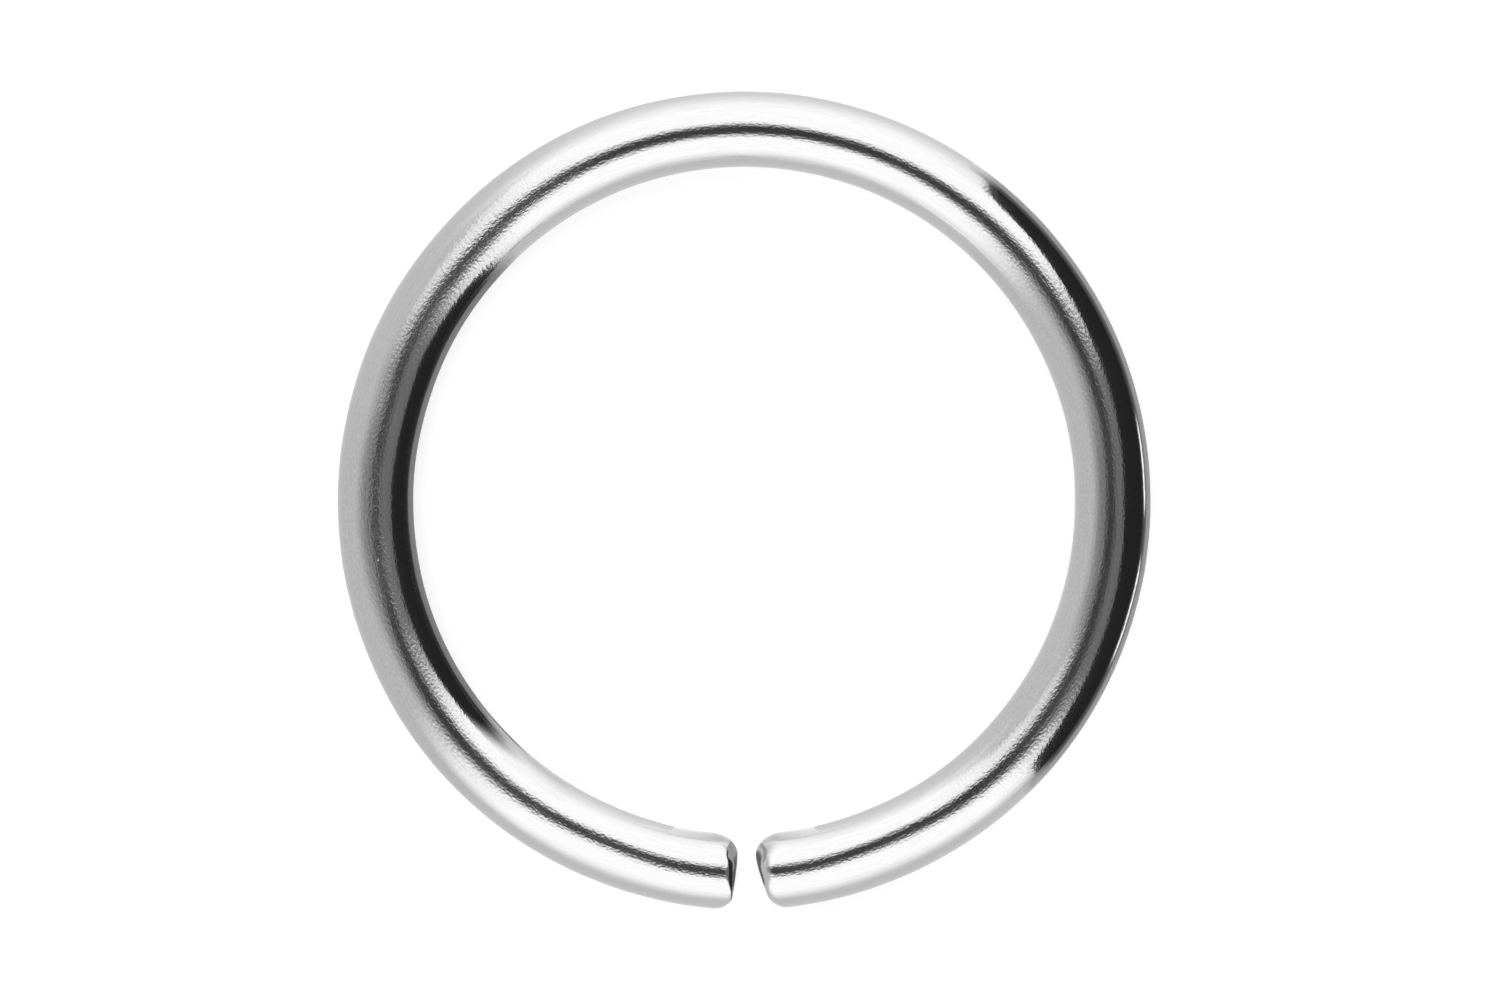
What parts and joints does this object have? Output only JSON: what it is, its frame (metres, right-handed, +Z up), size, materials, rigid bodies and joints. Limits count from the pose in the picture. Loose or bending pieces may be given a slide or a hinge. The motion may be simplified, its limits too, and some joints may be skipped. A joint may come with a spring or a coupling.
{
  "type": "piercing ring",
  "caption": "Small almost closed hoop of bright round steel wire with two rounded ends and a narrow gap, worn in a piercing and lying flat on its side.",
  "frame": {"origin": "under the ring's middle, on the surface that it lies on", "axes": "+Z is up, along the ring's axis; the gap is towards -Y and the wire opposite it towards +Y; +X is the ring's right side seen from above with the gap nearest the viewer"},
  "size_m": [0.0086, 0.0086, 0.0008],
  "materials": {
    "ring_wire": "bright polished surgical steel, very finely grained along the wire"
  },
  "bodies": {
    "root": {"ring": "ring_wire"}
  },
  "joints": []
}
